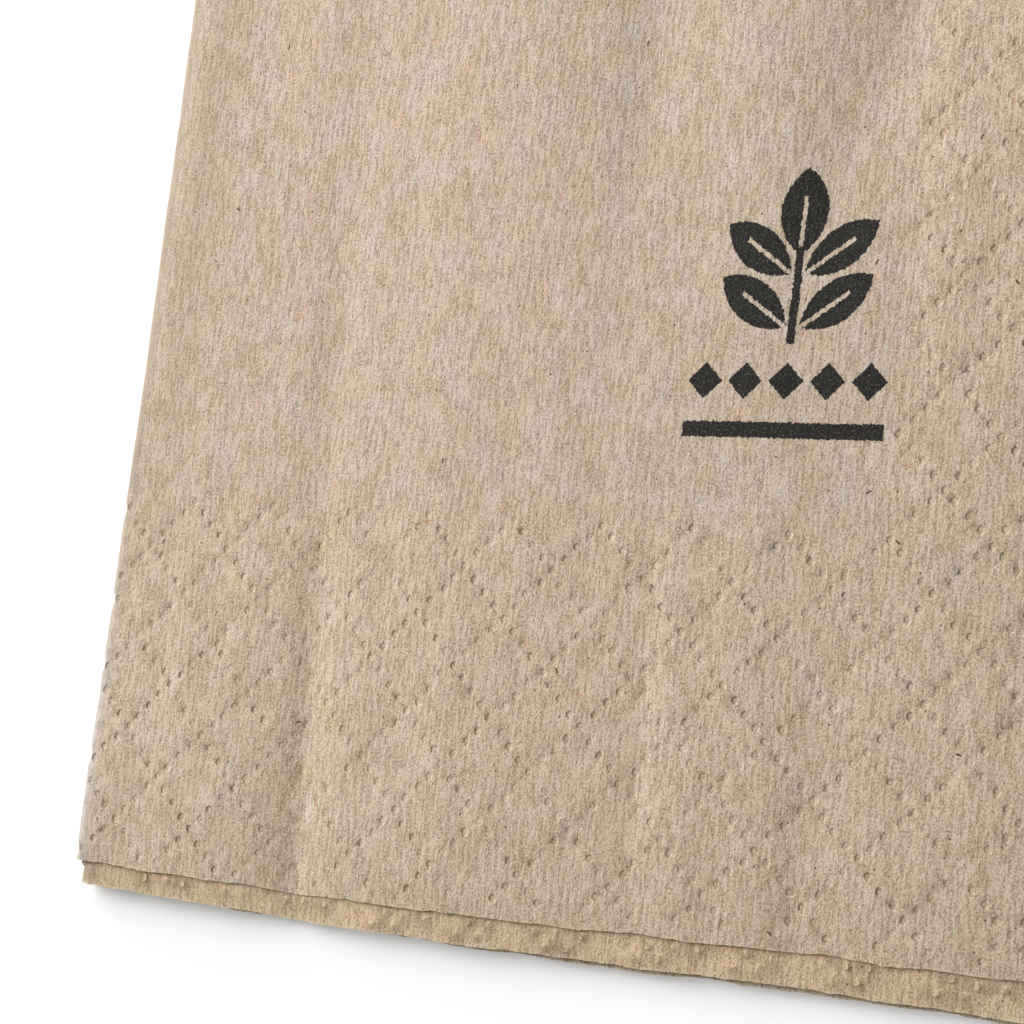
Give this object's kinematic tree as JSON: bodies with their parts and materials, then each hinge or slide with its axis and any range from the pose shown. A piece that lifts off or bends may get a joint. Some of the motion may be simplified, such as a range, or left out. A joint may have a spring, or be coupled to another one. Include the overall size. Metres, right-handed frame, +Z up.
{
  "type": "paper napkin",
  "caption": "Folded brown tissue cocktail napkin with a border embossed in diamonds, for wiping, wrapping or setting under a drink.",
  "frame": {"origin": "middle of the underside of the folded napkin, on the surface it lies on", "axes": "+Z up through the stack of leaves, -X to the closed second fold, +Y to the closed first fold, -Y to the open edges at the front"},
  "size_m": [0.1256, 0.1262, 0.0022],
  "materials": {
    "brown_tissue": "matte unbleached recycled tissue, with a small black print"
  },
  "bodies": {
    "root": {"napkin": "brown_tissue"}
  },
  "joints": []
}
